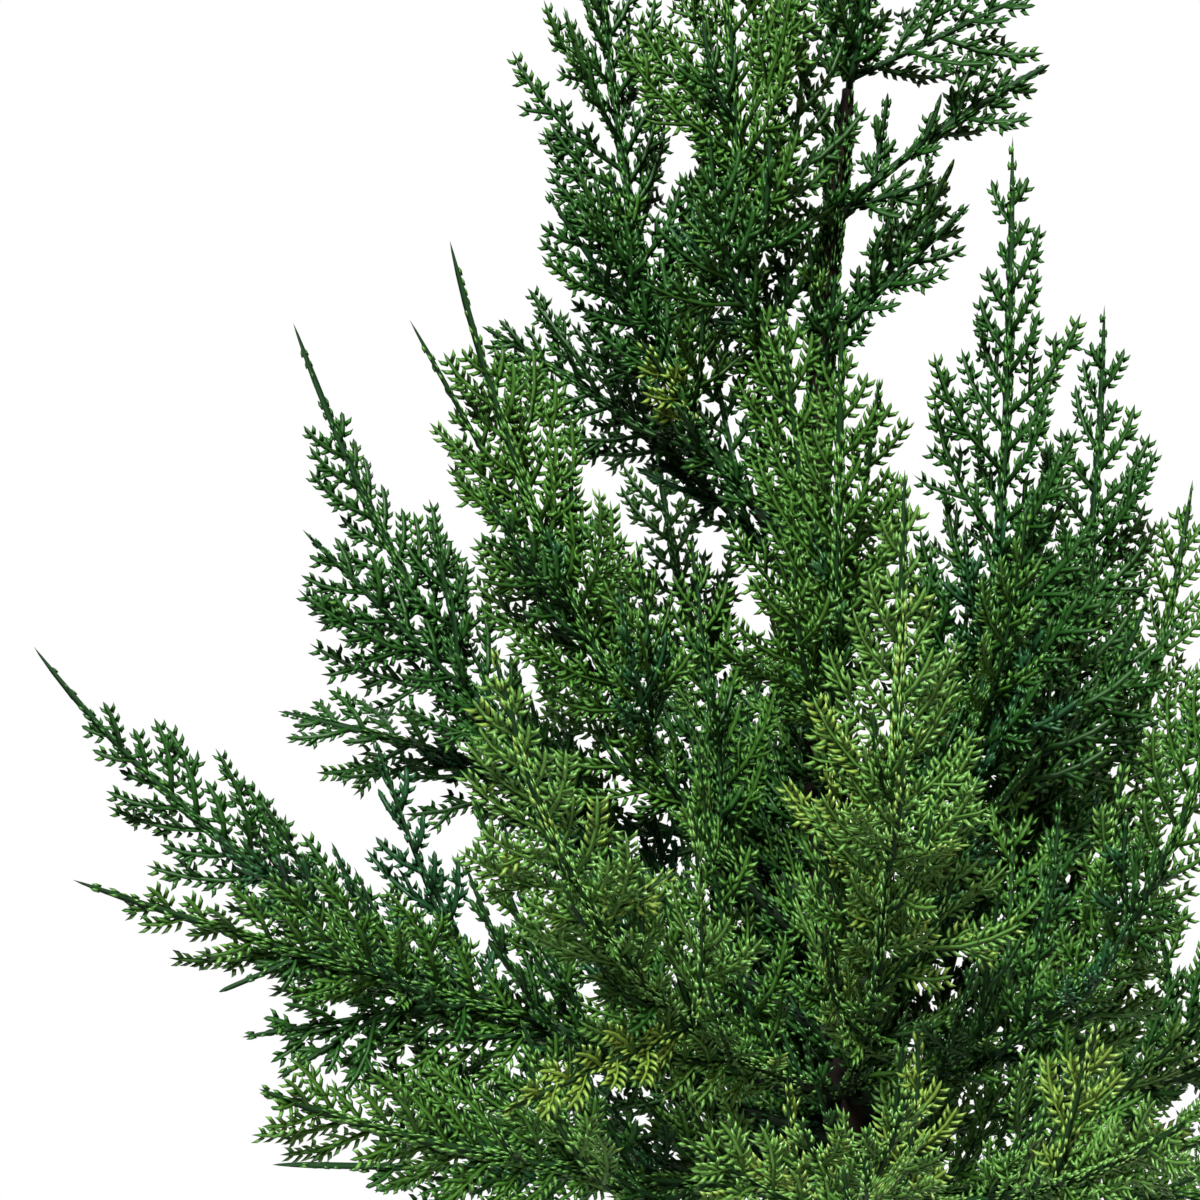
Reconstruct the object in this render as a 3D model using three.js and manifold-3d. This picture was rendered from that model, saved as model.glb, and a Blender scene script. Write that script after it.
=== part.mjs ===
// An artificial cedar tree about three feet tall: a crooked brown trunk, wire-cored boughs that are
// plugged into it, and on each bough a mass of moulded cedar sprays.
// Millimetres, +Z up, the ground at Z = 0, +X to the viewer's right and +Y away from the viewer.
import * as THREE from 'three';
import { mergeVertices } from 'three/addons/utils/BufferGeometryUtils.js';
import Module from 'manifold-3d';

const wasm = await Module();
wasm.setup();

// Trunk: flat cut on the ground, root flare, slow taper, and the bends of its axis.
const TREE_HEIGHT = 914;
const TRUNK_TOP = 690;
const TRUNK_RADIUS = 11;
const TRUNK_TIP_RADIUS = 3.4;
const FLARE_DEPTH = 7;
const FLARE_HEIGHT = 24;
const FLARE_LOBES = 5;
const FLARE_LOBE_SHARE = 0.25;
const TRUNK_SIDES = 12;
const TRUNK_RINGS = 13;
const RING_CROWDING = 1.7;
const HEIGHT_TOLERANCE = 1e-9;
const TRUNK_AXIS = new THREE.CatmullRomCurve3([
  new THREE.Vector3(0, 0, 0),
  new THREE.Vector3(3, 0, 190),
  new THREE.Vector3(-12, 4, 365),
  new THREE.Vector3(-9, 1, 565),
  new THREE.Vector3(4, -2, TRUNK_TOP),
]);

// Boughs: radius at the trunk and at the outer end, the gap that each seat keeps and the cut that leaves
// it, and how far a full sweep pulls the middle of a bough out and down.
const BOUGH_RADIUS = 3.4;
const BOUGH_TIP_RADIUS = 2.4;
const BOUGH_SIDES = 5;
const BOUGH_RINGS = 2;
const SEAT_GAP = 0.3;
const SEAT_CUT = 0.36;
const SWEEP_OUT = 0.35;
const SWEEP_DOWN = 0.4;

// Each bough: the height of its foot on the trunk, the way it faces (0 is right, 90 is back, 180 is
// left, 270 is front), how far out and how high its foliage reaches, how strongly it sweeps up at
// the end (0 is straight), and the length of bare limb before the foliage starts.
const BOUGHS = [
  { name: 'skirt_left', foot: 146, facing: 200, reach: 297, tip: 167, sweep: 0, bare: 42 },
  { name: 'skirt_front_left', foot: 138, facing: 218, reach: 350, tip: 217, sweep: 0.4, bare: 42 },
  { name: 'skirt_front', foot: 112, facing: 268, reach: 318, tip: 188, sweep: 0.3, bare: 42 },
  { name: 'skirt_front_right', foot: 132, facing: 297, reach: 292, tip: 209, sweep: 0.5, bare: 42 },
  { name: 'skirt_right', foot: 140, facing: 342, reach: 240, tip: 148, sweep: 0, bare: 42 },
  { name: 'skirt_back_right', foot: 124, facing: 38, reach: 300, tip: 150, sweep: 0.4, bare: 42 },
  { name: 'skirt_back', foot: 112, facing: 84, reach: 290, tip: 135, sweep: 0.3, bare: 42 },
  { name: 'skirt_back_left', foot: 128, facing: 131, reach: 310, tip: 165, sweep: 0.4, bare: 42 },
  { name: 'low_left', foot: 165, facing: 183, reach: 404, tip: 412, sweep: 0.5, bare: 55 },
  { name: 'low_left_front', foot: 184, facing: 203, reach: 398, tip: 306, sweep: 0.1, bare: 55 },
  { name: 'low_front_left', foot: 188, facing: 236, reach: 303, tip: 415, sweep: 0.8, bare: 55 },
  { name: 'low_front', foot: 190, facing: 273, reach: 230, tip: 493, sweep: 0.9, bare: 55 },
  { name: 'low_front_right', foot: 186, facing: 306, reach: 275, tip: 430, sweep: 0.9, bare: 55 },
  { name: 'low_right', foot: 168, facing: 357, reach: 390, tip: 375, sweep: 0.9, bare: 55 },
  { name: 'low_back_right', foot: 176, facing: 32, reach: 225, tip: 499, sweep: 0.8, bare: 55 },
  { name: 'low_back', foot: 170, facing: 96, reach: 380, tip: 380, sweep: 0.9, bare: 55 },
  { name: 'low_back_left', foot: 180, facing: 122, reach: 314, tip: 353, sweep: 0.7, bare: 55 },
  { name: 'mid_left', foot: 212, facing: 176, reach: 277, tip: 575, sweep: 0.5, bare: 100 },
  { name: 'mid_left_front', foot: 250, facing: 208, reach: 215, tip: 606, sweep: 0.5, bare: 75 },
  { name: 'mid_left_back', foot: 282, facing: 157, reach: 311, tip: 376, sweep: -0.3, bare: 45 },
  { name: 'mid_front', foot: 325, facing: 271, reach: 130, tip: 566, sweep: 0.7, bare: 45 },
  { name: 'mid_right_front', foot: 262, facing: 322, reach: 105, tip: 660, sweep: 1.4, bare: 45 },
  { name: 'mid_right', foot: 244, facing: 12, reach: 140, tip: 585, sweep: 1.3, bare: 45 },
  { name: 'mid_back', foot: 268, facing: 112, reach: 230, tip: 525, sweep: 0.6, bare: 45 },
  { name: 'top_left', foot: 460, facing: 193, reach: 114, tip: 800, sweep: 1, bare: 38 },
  { name: 'top_front', foot: 515, facing: 225, reach: 70, tip: 850, sweep: 1.2, bare: 38 },
  { name: 'top_right', foot: 625, facing: 357, reach: 108, tip: 702, sweep: -0.2, bare: 24 },
  { name: 'top_back_left', foot: 430, facing: 146, reach: 205, tip: 580, sweep: -0.3, bare: 38 },
  { name: 'top_back', foot: 560, facing: 38, reach: 90, tip: 662, sweep: 0.2, bare: 28 },
];

// The leader: a mass on the trunk's own tip, up to the top of the tree.
const LEADER = { reach: 9, rise: TREE_HEIGHT - TRUNK_TOP, sweep: 0 };
const LEADER_SEED = 7;

// Foliage: a three-sided stem, one main spray that carries it on, and side sprays round it. The inner
// side sprays turn up more than the outer ones. A spray without room is tried shorter and turned on.
const STEM_RADIUS = 2.3;
const STEM_TIP_RADIUS = 1.9;
const STEM_SIDES = 3;
const STEM_RINGS = 3;
const STEM_SHARE = 0.3;
const ROOT_SUNK = 2.2;
const SIDE_SPACING = 80;
const SIDE_SPRAYS_LEAST = 4;
const SIDE_FIRST = 0.02;
const SIDE_LAST = 0.5;
const SIDE_ANGLE = THREE.MathUtils.degToRad(40);
const SIDE_LENGTH = [0.32, 0.54];
const SHORT_SIDES = { mid_left: 0.5, top_left: 0.7, top_back_left: 0.8 };
const SIDE_UPTURN = [1.7, 0.35];
const SIDE_FOLLOW = 0.4;
const SIDE_BEND = 0.45;
const SIDE_TRIES = 5;
const SHORTER_TRY = 0.78;
const TURN_TRY = 0.9;
const ROLL_RANGE = 1.2;
const SIDE_ROLL_RANGE = 1.8;
const ROLL_TRIES = 6;
const GOLDEN_ANGLE = Math.PI * (3 - Math.sqrt(5));
const BOUGH_SEED = 100;
const SIDE_SEED = 40;
const ROOM_SEARCH = 1;
const WELD = 0.2;

// A spray: a toothed blade with a raised rib and a bare spike at its end. Each tooth stands for one side
// sprig. Lengths along the spray follow a flame that is widest near its foot and draws out to a point.
const TOOTH_SPACING = 42;
const TOOTH_LENGTH = [46, 0.12];
const TOOTH_ANGLE = [0.74, 0.4];
const TOOTH_LIFT = 0.3;
const TOOTH_STAGGER = 0.18;
const TOOTH_VARIATION = [0.85, 1.15];
const BAYS_LEAST = 3;
const RIB_RADIUS = 1.7;
const RIB_TIP_RADIUS = 0.7;
const BLADE_ROOT_WIDTH = 1.9;
const SPIKE_SHARE = 0.09;
const FLAME_FOOT = 0.42;
const FLAME_WIDEST = 0.36;
const FLAME_POINT = 0.48;

const UP = new THREE.Vector3(0, 0, 1);
const ACROSS = new THREE.Vector3(0, 1, 0);

// A repeatable number from 0 to 1 for a pair of counters.
function seeded(a, b) {
  const wave = Math.sin(a * 127.1 + b * 311.7) * 43758.5453;
  return wave - Math.floor(wave);
}

function mix(pair, share) {
  return THREE.MathUtils.lerp(pair[0], pair[1], share);
}

// A closed mesh from lists of points and triangles, turned so that its faces point out.
function closedGeometry(points, triangles) {
  let volume = 0;
  for (const [a, b, c] of triangles) {
    volume += points[a].dot(points[b].clone().cross(points[c]));
  }
  const facing = volume > 0 ? triangles : triangles.map(([a, b, c]) => [a, c, b]);
  return new THREE.BufferGeometry().setFromPoints(points).setIndex(facing.flat());
}

// A skin over rings of equal count, closed by a fan at each end.
function loft(rings) {
  const sides = rings[0].length;
  const last = (rings.length - 1) * sides;
  const triangles = [];
  for (let ring = 0; ring < rings.length - 1; ring++) {
    for (let side = 0; side < sides; side++) {
      const here = ring * sides + side;
      const next = ring * sides + ((side + 1) % sides);
      triangles.push([here, next, next + sides], [here, next + sides, here + sides]);
    }
  }
  for (let side = 1; side < sides - 1; side++) {
    triangles.push([0, side + 1, side], [last, last + side, last + side + 1]);
  }
  return closedGeometry(rings.flat(), triangles);
}

// The directions across a curve at u: along it, across it near the given way, and square to both.
function framing(curve, u, near) {
  const along = curve.getTangent(u);
  const across = near.clone().addScaledVector(along, -near.dot(along)).normalize();
  return { along, across, square: along.clone().cross(across) };
}

// A tapering limb along a curve.
function limb(curve, startRadius, endRadius, sides, rings) {
  const loops = [];
  for (let ring = 0; ring <= rings; ring++) {
    const u = ring / rings;
    const centre = curve.getPoint(u);
    const { across, square } = framing(curve, u, ACROSS);
    const radius = THREE.MathUtils.lerp(startRadius, endRadius, u);
    const loop = [];
    for (let side = 0; side < sides; side++) {
      const turn = (2 * Math.PI * side) / sides;
      loop.push(
        centre
          .clone()
          .addScaledVector(across, radius * Math.cos(turn))
          .addScaledVector(square, radius * Math.sin(turn)),
      );
    }
    loops.push(loop);
  }
  return loft(loops);
}

// The parameter of a curve at a length from its start.
function atLength(curve, length) {
  return curve.getUtoTmapping(0, length);
}

// The stretch of a quadratic curve between two of its parameters.
function stretch(curve, from, to) {
  const bend = curve.v0.clone().lerp(curve.v1, from);
  bend.lerp(curve.v1.clone().lerp(curve.v2, from), to);
  return new THREE.QuadraticBezierCurve3(curve.getPoint(from), bend, curve.getPoint(to));
}

function toSolid(geometry) {
  const bare = geometry.clone();
  bare.deleteAttribute('normal');
  bare.deleteAttribute('uv');
  const merged = mergeVertices(bare);
  return new wasm.Manifold(
    new wasm.Mesh({
      numProp: 3,
      vertProperties: merged.attributes.position.array,
      triVerts: new Uint32Array(merged.index.array),
    }),
  );
}

function toGeometry(solid) {
  const { numProp, vertProperties, triVerts } = solid.getMesh();
  const points = [];
  for (let at = 0; at < vertProperties.length; at += numProp) {
    points.push(new THREE.Vector3(...vertProperties.subarray(at, at + 3)));
  }
  return new THREE.BufferGeometry().setFromPoints(points).setIndex(Array.from(triVerts));
}

// The largest body of a solid: sealed hollows are filled, and scraps that are loose or hang on by a
// point are dropped.
function largestBody(solid) {
  return solid.decompose().reduce((best, body) => (body.volume() > best.volume() ? body : best));
}

function placed(solid, group) {
  return solid.transform(group.matrixWorld.elements);
}

function boxesNear(a, b) {
  const one = a.boundingBox();
  const two = b.boundingBox();
  return [0, 1, 2].every(
    (axis) => one.min[axis] < two.max[axis] + SEAT_GAP && two.min[axis] < one.max[axis] + SEAT_GAP,
  );
}

function clearOf(solid, others) {
  return others.every((other) => !boxesNear(solid, other) || solid.minGap(other, ROOM_SEARCH) >= SEAT_GAP);
}

// The point of the trunk's axis at a height.
function trunkCentre(height) {
  let low = 0;
  let high = 1;
  while (high - low > HEIGHT_TOLERANCE) {
    const middle = (low + high) / 2;
    if (TRUNK_AXIS.getPoint(middle).z < height) {
      low = middle;
    } else {
      high = middle;
    }
  }
  return TRUNK_AXIS.getPoint(low);
}

function trunkRadius(height, turn) {
  const taper = THREE.MathUtils.lerp(TRUNK_RADIUS, TRUNK_TIP_RADIUS, height / TRUNK_TOP);
  const lobe = 1 - FLARE_LOBE_SHARE + FLARE_LOBE_SHARE * Math.cos(FLARE_LOBES * turn);
  return taper + FLARE_DEPTH * lobe * Math.exp(-height / FLARE_HEIGHT);
}

// The trunk, with level rings that lie closer together in the root flare. A grown one clears its seats.
function trunk(grown) {
  const rings = [];
  for (let ring = 0; ring <= TRUNK_RINGS; ring++) {
    const height = TRUNK_TOP * (ring / TRUNK_RINGS) ** RING_CROWDING;
    const centre = trunkCentre(height).setZ(height);
    const loop = [];
    for (let side = 0; side < TRUNK_SIDES; side++) {
      const turn = (2 * Math.PI * side) / TRUNK_SIDES;
      const radius = trunkRadius(height, turn) + grown;
      loop.push(new THREE.Vector3(Math.cos(turn), Math.sin(turn), 0).multiplyScalar(radius).add(centre));
    }
    rings.push(loop);
  }
  return loft(rings);
}

// The line that a bough and its foliage follow, in the bough's own frame: +X out, +Z up.
function boughLine({ reach, rise, sweep }) {
  return new THREE.QuadraticBezierCurve3(
    new THREE.Vector3(0, 0, 0),
    new THREE.Vector3(reach * (0.5 + SWEEP_OUT * sweep), 0, rise * (0.5 - SWEEP_DOWN * sweep)),
    new THREE.Vector3(reach, 0, rise),
  );
}

// How long the sprigs are along a spray, as a share of the longest: a flame.
function flame(share) {
  const foot = mix([FLAME_FOOT, 1], THREE.MathUtils.smoothstep(share, 0, FLAME_WIDEST));
  return foot * (1 - share) ** FLAME_POINT;
}

// One spray along a spine, flat on the given way across. Its rings hold rib top, right edge, rib
// underside and left edge, and between two rings each edge is drawn out to a tooth.
function spray(spine, near, seed) {
  const length = spine.getLength();
  const bays = Math.max(BAYS_LEAST, Math.round(length / TOOTH_SPACING));
  const longest = TOOTH_LENGTH[0] + TOOTH_LENGTH[1] * length;
  const points = [];
  const triangles = [];
  for (let bay = 0; bay <= bays; bay++) {
    const u = (bay / bays) * (1 - SPIKE_SHARE);
    const centre = spine.getPointAt(u);
    const { across, square } = framing(spine, u, near);
    const rib = mix([RIB_RADIUS, RIB_TIP_RADIUS], u);
    const edge = rib * BLADE_ROOT_WIDTH;
    points.push(
      centre.clone().addScaledVector(square, rib),
      centre.clone().addScaledVector(across, edge),
      centre.clone().addScaledVector(square, -rib),
      centre.clone().addScaledVector(across, -edge),
    );
  }
  const ringEnd = points.length - 4;
  for (let bay = 0; bay < bays; bay++) {
    const [top, right, under, left] = [0, 1, 2, 3].map((corner) => bay * 4 + corner);
    for (const [edge, upper, lower, hand] of [[right, top, under, 1], [left, under, top, -1]]) {
      const u = ((bay + 0.5 + TOOTH_STAGGER * hand) / bays) * (1 - SPIKE_SHARE);
      const { along, across, square } = framing(spine, u, near);
      const angle = mix(TOOTH_ANGLE, u);
      const reach = longest * flame(u) * mix(TOOTH_VARIATION, seeded(seed + bay, hand));
      const tooth = points.length;
      points.push(
        spine
          .getPointAt(u)
          .addScaledVector(along, reach * Math.cos(angle))
          .addScaledVector(across, hand * reach * Math.sin(angle))
          .addScaledVector(square, reach * TOOTH_LIFT * (2 * seeded(seed - bay, hand) - 1)),
      );
      triangles.push([upper, edge, tooth], [upper, tooth, upper + 4], [upper + 4, tooth, edge + 4]);
      triangles.push([edge, lower, tooth], [lower, lower + 4, tooth], [lower + 4, edge + 4, tooth]);
    }
  }
  const tip = points.push(spine.getPoint(1)) - 1;
  for (let corner = 0; corner < 4; corner++) {
    triangles.push([ringEnd + corner, ringEnd + ((corner + 1) % 4), tip]);
  }
  triangles.push([0, 3, 1], [1, 3, 2]);
  return closedGeometry(points, triangles);
}

// The spine of a side spray: it leaves the stem at an angle and turns up.
function sideSpine(line, at, turn, length, upturn) {
  const root = line.getPoint(at);
  const { along, across, square } = framing(line, at, ACROSS);
  const out = along.clone().multiplyScalar(Math.cos(SIDE_ANGLE));
  out.addScaledVector(across, Math.sin(SIDE_ANGLE) * Math.cos(turn));
  out.addScaledVector(square, Math.sin(SIDE_ANGLE) * Math.sin(turn));
  const end = out.clone().addScaledVector(along, SIDE_FOLLOW).addScaledVector(UP, upturn).normalize();
  return new THREE.QuadraticBezierCurve3(
    root,
    root.clone().addScaledVector(out, length * SIDE_BEND),
    root.clone().addScaledVector(end, length),
  );
}

// The way across a spine that turns a spray's flat side to the front of the tree.
function broadside(spine, group) {
  return ACROSS.clone().applyQuaternion(group.quaternion.clone().invert()).cross(spine.getTangent(0));
}

// The stem of a mass and the main spray that carries it on to the line's tip. The spray is rolled
// until it clears the limbs and the masses round it.
function mainSprays({ line, bare, group, seed }, others) {
  const start = atLength(line, bare + SEAT_GAP);
  const fork = mix([start, 1], STEM_SHARE);
  const stem = limb(stretch(line, start, fork), STEM_RADIUS, STEM_TIP_RADIUS, STEM_SIDES, STEM_RINGS);
  const spine = stretch(line, atLength(line, stretch(line, 0, fork).getLength() - ROOT_SUNK), 1);
  for (let roll = 0; roll < ROLL_TRIES; roll++) {
    const turn = ROLL_RANGE * (seeded(seed, 1) - 0.5) + (Math.PI * roll) / ROLL_TRIES;
    const near = broadside(spine, group).applyAxisAngle(spine.getTangent(0), turn);
    const solid = toSolid(spray(spine, near, seed));
    if (clearOf(placed(solid, group), others)) {
      return [toSolid(stem), solid];
    }
  }
  return [toSolid(stem)];
}

// The side sprays of a mass. One that would touch a limb or another mass is made shorter, and is left
// out where that is not enough.
function sideSprays({ name, line, bare, group, seed }, others) {
  const solids = [];
  const count = Math.max(SIDE_SPRAYS_LEAST, Math.round(line.getLength() / SIDE_SPACING));
  for (let side = 0; side < count; side++) {
    const share = mix([SIDE_FIRST, SIDE_LAST], side / (count - 1));
    const root = mix([atLength(line, bare), 1], share);
    const room = stretch(line, root, 1).getLength();
    const full = room * mix(SIDE_LENGTH, seeded(seed, 10 + side)) * (SHORT_SIDES[name] ?? 1);
    const roll = SIDE_ROLL_RANGE * (seeded(seed, 20 + side) - 0.5);
    const firstTurn = side * GOLDEN_ANGLE + seeded(seed, 2) * Math.PI;
    for (let attempt = 0; attempt < SIDE_TRIES; attempt++) {
      const length = full * SHORTER_TRY ** attempt;
      const turn = firstTurn + attempt * TURN_TRY;
      const spine = sideSpine(line, root, turn, length, mix(SIDE_UPTURN, side / (count - 1)));
      const near = broadside(spine, group).applyAxisAngle(spine.getTangent(0), roll);
      const solid = toSolid(spray(spine, near, seed + SIDE_SEED * (side + 1)));
      if (clearOf(placed(solid, group), others)) {
        solids.push(solid);
        break;
      }
    }
  }
  return solids;
}

const bark = new THREE.MeshStandardMaterial({ color: 0x2b1d14, roughness: 0.9, metalness: 0 });
const boughGreen = new THREE.MeshStandardMaterial({ color: 0x1c3a22, roughness: 0.6, metalness: 0 });
const needleGreen = new THREE.MeshStandardMaterial({ color: 0x2f5a2a, roughness: 0.5, metalness: 0 });

function namedMesh(name, geometry, material) {
  const mesh = new THREE.Mesh(geometry, material);
  mesh.name = name;
  return mesh;
}

const tree = new THREE.Group();
tree.add(namedMesh('trunk', trunk(0), bark));

// Each bough stands in a group of its own, at its foot on the trunk and turned the way it faces.
const trunkSolid = toSolid(trunk(0));
const trunkSeat = toSolid(trunk(SEAT_CUT));
const limbs = [trunkSolid];
const seats = BOUGHS.map(({ name, foot, facing, reach, tip, sweep, bare }, index) => {
  const group = new THREE.Group();
  group.position.copy(trunkCentre(foot));
  group.rotation.z = THREE.MathUtils.degToRad(facing);
  group.updateMatrixWorld();
  const line = boughLine({ reach, rise: tip - foot, sweep });
  const whole = toSolid(
    limb(stretch(line, 0, atLength(line, bare)), BOUGH_RADIUS, BOUGH_TIP_RADIUS, BOUGH_SIDES, BOUGH_RINGS),
  );
  const hole = trunkSeat.transform(group.matrixWorld.clone().invert().elements);
  const solid = largestBody(whole.subtract(hole));
  group.add(namedMesh(`bough_${name}`, toGeometry(solid), boughGreen));
  limbs.push(placed(solid, group));
  tree.add(group);
  return { name, group, line, bare, seed: BOUGH_SEED * (index + 1), solids: [] };
});

const leader = new THREE.Group();
leader.position.copy(trunkCentre(TRUNK_TOP)).setZ(TRUNK_TOP);
leader.updateMatrixWorld();
tree.add(leader);
seats.push({
  name: 'leader',
  group: leader,
  line: boughLine(LEADER),
  bare: 0,
  seed: LEADER_SEED,
  solids: [],
});

// Every mass gets its stem and main spray first, and then the side sprays that still find room.
const taken = limbs.map((solid) => ({ name: 'limb', solid }));

function grow(seat, makeSprays) {
  const others = taken.filter((held) => held.name !== seat.name).map((held) => held.solid);
  for (const solid of makeSprays(seat, others)) {
    seat.solids.push(solid);
    taken.push({ name: seat.name, solid: placed(solid, seat.group) });
  }
}

seats.forEach((seat) => grow(seat, mainSprays));
seats.forEach((seat) => grow(seat, sideSprays));
for (const { name, group, solids } of seats) {
  const joined = wasm.Manifold.union(solids).asOriginal().simplify(WELD);
  const mass = largestBody(toSolid(toGeometry(joined)));
  group.add(namedMesh(`foliage_${name}`, toGeometry(mass), needleGreen));
}

export default tree;
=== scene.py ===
from math import cos, pi, radians, sin

import bmesh
import bpy
import numpy as np
from mathutils import Matrix, Vector, noise


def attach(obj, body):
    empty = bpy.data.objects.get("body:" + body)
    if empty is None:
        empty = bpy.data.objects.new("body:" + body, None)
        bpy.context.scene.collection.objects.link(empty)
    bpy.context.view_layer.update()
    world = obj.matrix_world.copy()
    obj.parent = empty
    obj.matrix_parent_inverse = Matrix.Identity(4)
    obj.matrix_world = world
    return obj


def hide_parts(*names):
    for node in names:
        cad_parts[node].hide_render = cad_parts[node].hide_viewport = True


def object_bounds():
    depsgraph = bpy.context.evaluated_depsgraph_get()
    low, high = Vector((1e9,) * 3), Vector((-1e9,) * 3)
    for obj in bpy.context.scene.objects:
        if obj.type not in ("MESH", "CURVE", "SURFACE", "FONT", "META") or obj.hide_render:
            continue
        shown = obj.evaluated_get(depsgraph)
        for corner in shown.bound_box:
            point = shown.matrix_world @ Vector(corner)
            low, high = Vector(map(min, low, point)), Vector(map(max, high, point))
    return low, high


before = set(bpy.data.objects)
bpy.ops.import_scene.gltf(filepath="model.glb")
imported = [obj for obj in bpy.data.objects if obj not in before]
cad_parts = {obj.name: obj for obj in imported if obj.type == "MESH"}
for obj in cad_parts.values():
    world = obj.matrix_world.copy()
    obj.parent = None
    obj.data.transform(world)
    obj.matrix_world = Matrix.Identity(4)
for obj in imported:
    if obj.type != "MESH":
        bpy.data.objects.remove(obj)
cad_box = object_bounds()

# The trunk: a crooked pole moulded in dark brown plastic with furrowed bark, flared at its foot and cut
# flat where it meets the ground. Its brown is painted darker, near black, as painted shade from the
# crown above it. The rings of the imported trunk give its bends and its taper.
TRUNK_SIDES = 40
TRUNK_STEP = 0.004
RING_DIGITS = 5
RING_TOLERANCE = 1e-4
FLAT_FOOT = 0.0005
FLARE_LOBES = 5
FLARE_LOBE_SHARE = 0.12
FLARE_HEIGHT = 0.024
FURROW_DEPTH = 0.0022
FURROW_SIZE = Vector((150, 150, 26))
FURROW_FLOOR = 0.25
GRAIN_DEPTH = 0.0006
GRAIN_SIZE = Vector((520, 520, 130))
# The two streak colours: the plastic's own dark brown, both painted near black as painted shade.
BARK_DARK = (0.004, 0.003, 0.002)
BARK_LIGHT = (0.011, 0.006, 0.004)
BARK_ROUGHNESS = 0.85
BARK_STREAKS = 95
BARK_BUMP = 0.0008
STREAK_SHINE = 0.15
STREAK_STRETCH = (1, 1, 0.22)
STREAK_DETAIL = 6
STREAK_RAMP = (0.36, 0.68)
STREAK_BUMP = 0.6


def plastic(name, colour, roughness, shine):
    """A plain moulded plastic."""
    material = bpy.data.materials.new(name)
    material.use_nodes = True
    shader = material.node_tree.nodes["Principled BSDF"]
    shader.inputs["Base Color"].default_value = (*colour, 1)
    shader.inputs["Roughness"].default_value = roughness
    shader.inputs["Specular IOR Level"].default_value = shine
    return material


def streaked_plastic(name, dark, light, roughness, scale, height):
    """Moulded plastic with streaks of two colours and a matching bump, stretched up the limb."""
    material = plastic(name, dark, roughness, STREAK_SHINE)
    nodes, links = material.node_tree.nodes, material.node_tree.links
    shader = nodes["Principled BSDF"]
    place = nodes.new("ShaderNodeTexCoord")
    squeeze = nodes.new("ShaderNodeMapping")
    squeeze.inputs["Scale"].default_value = STREAK_STRETCH
    streaks = nodes.new("ShaderNodeTexNoise")
    streaks.inputs["Scale"].default_value = scale
    streaks.inputs["Detail"].default_value = STREAK_DETAIL
    tones = nodes.new("ShaderNodeValToRGB")
    for stop, position, colour in zip(tones.color_ramp.elements, STREAK_RAMP, (dark, light)):
        stop.position = position
        stop.color = (*colour, 1)
    bump = nodes.new("ShaderNodeBump")
    bump.inputs["Strength"].default_value = STREAK_BUMP
    bump.inputs["Distance"].default_value = height
    links.new(place.outputs["Object"], squeeze.inputs["Vector"])
    links.new(squeeze.outputs["Vector"], streaks.inputs["Vector"])
    links.new(streaks.outputs["Fac"], tones.inputs["Fac"])
    links.new(tones.outputs["Color"], shader.inputs["Base Color"])
    links.new(streaks.outputs["Fac"], bump.inputs["Height"])
    links.new(bump.outputs["Normal"], shader.inputs["Normal"])
    return material


def place_piece(name, mesh, material, nodes):
    """Puts a finished mesh on the tree in place of the nodes that it stands for."""
    mesh.materials.append(material)
    piece = bpy.data.objects.new(name, mesh)
    bpy.context.collection.objects.link(piece)
    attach(piece, "root")
    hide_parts(*nodes)


def grow_limb(shape, path, radii, sides):
    """Draws a limb into a bmesh: a disc that is extruded from point to point of a path."""
    ring = bmesh.ops.create_circle(shape, cap_ends=True, segments=sides, radius=1)["verts"]
    edges = list({edge for vert in ring for edge in vert.link_edges})
    was = Matrix()
    for at, radius in enumerate(radii):
        ahead = path[min(at + 1, len(path) - 1)] - path[max(at - 1, 0)]
        turn = Vector((0, 0, 1)).rotation_difference(ahead).to_matrix().to_4x4()
        now = Matrix.Translation(path[at]) @ turn @ Matrix.Scale(radius, 4)
        if at:
            grown = bmesh.ops.extrude_edge_only(shape, edges=edges)["geom"]
            ring = [part for part in grown if isinstance(part, bmesh.types.BMVert)]
            edges = [part for part in grown if isinstance(part, bmesh.types.BMEdge)]
        bmesh.ops.transform(shape, matrix=now @ was.inverted(), verts=ring)
        was = now
    bmesh.ops.contextual_create(shape, geom=edges)


def raise_bark(shape, lowest):
    """Furrows and grain that stand out of a limb's skin. What lies at the ground stays flat."""
    bmesh.ops.recalc_face_normals(shape, faces=shape.faces)
    shape.normal_update()
    for vert in shape.verts:
        if vert.co.z > lowest:
            furrow = abs(noise.noise(vert.co * FURROW_SIZE)) - FURROW_FLOOR
            grain = noise.noise(vert.co * GRAIN_SIZE)
            vert.co += vert.normal * (FURROW_DEPTH * furrow + GRAIN_DEPTH * grain)


def finish_mesh(name, shape):
    """A mesh with smooth sides from a bmesh."""
    mesh = bpy.data.meshes.new(name)
    for face in shape.faces:
        face.smooth = len(face.verts) == 4
    shape.to_mesh(mesh)
    shape.free()
    return mesh


packed = np.array([vert.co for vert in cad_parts["trunk"].data.vertices])
levels = np.unique(packed[:, 2].round(RING_DIGITS))
packed_rings = [packed[abs(packed[:, 2] - level) < RING_TOLERANCE] for level in levels]
ring_centres = np.array([(ring.max(axis=0) + ring.min(axis=0)) / 2 for ring in packed_rings])
ring_radii = np.array([np.ptp(ring[:, :2], axis=0).mean() / 2 for ring in packed_rings])
trunk_top = levels[-1]


def trunk_centre(height):
    """The trunk's axis at a height."""
    return Vector((*(np.interp(height, levels, ring_centres[:, axis]) for axis in (0, 1)), height))


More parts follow.
